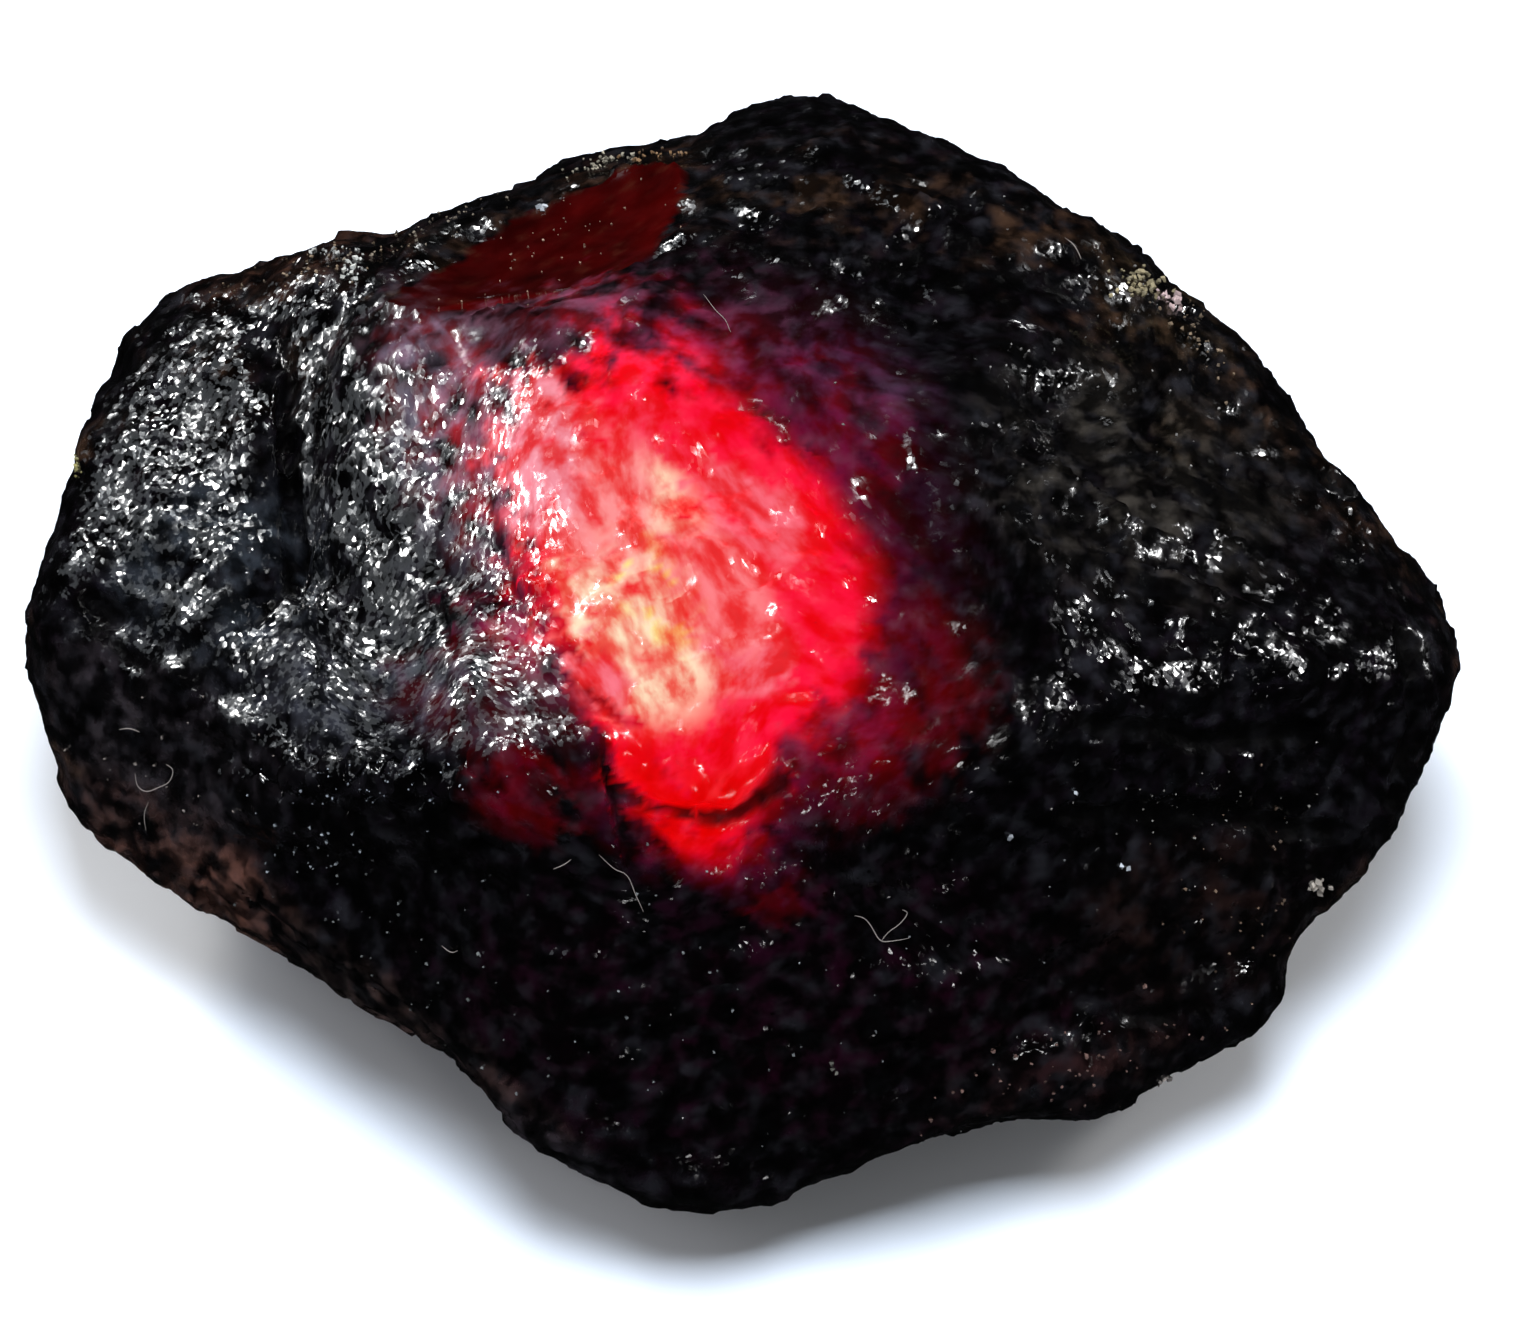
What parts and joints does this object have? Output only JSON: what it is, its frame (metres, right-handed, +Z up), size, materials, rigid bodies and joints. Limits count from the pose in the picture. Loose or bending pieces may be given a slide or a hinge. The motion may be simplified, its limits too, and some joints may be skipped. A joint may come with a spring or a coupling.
{
  "type": "rough hessonite garnet",
  "caption": "Uncut lump of near-black hessonite garnet with broken, pitted glassy faces, a smooth flake scar and a flat fracture face it rests on.",
  "frame": {"origin": "middle of the stone's length and width, on the surface it rests on", "axes": "+X to the right of the show side, along the stone's length, +Y to its back and +Z up"},
  "size_m": [0.042, 0.0344, 0.0197],
  "materials": {
    "garnet": "rough, pitted, glassy fracture surface over dark red-brown crystal"
  },
  "bodies": {
    "root": {"garnet": "garnet"}
  },
  "joints": []
}
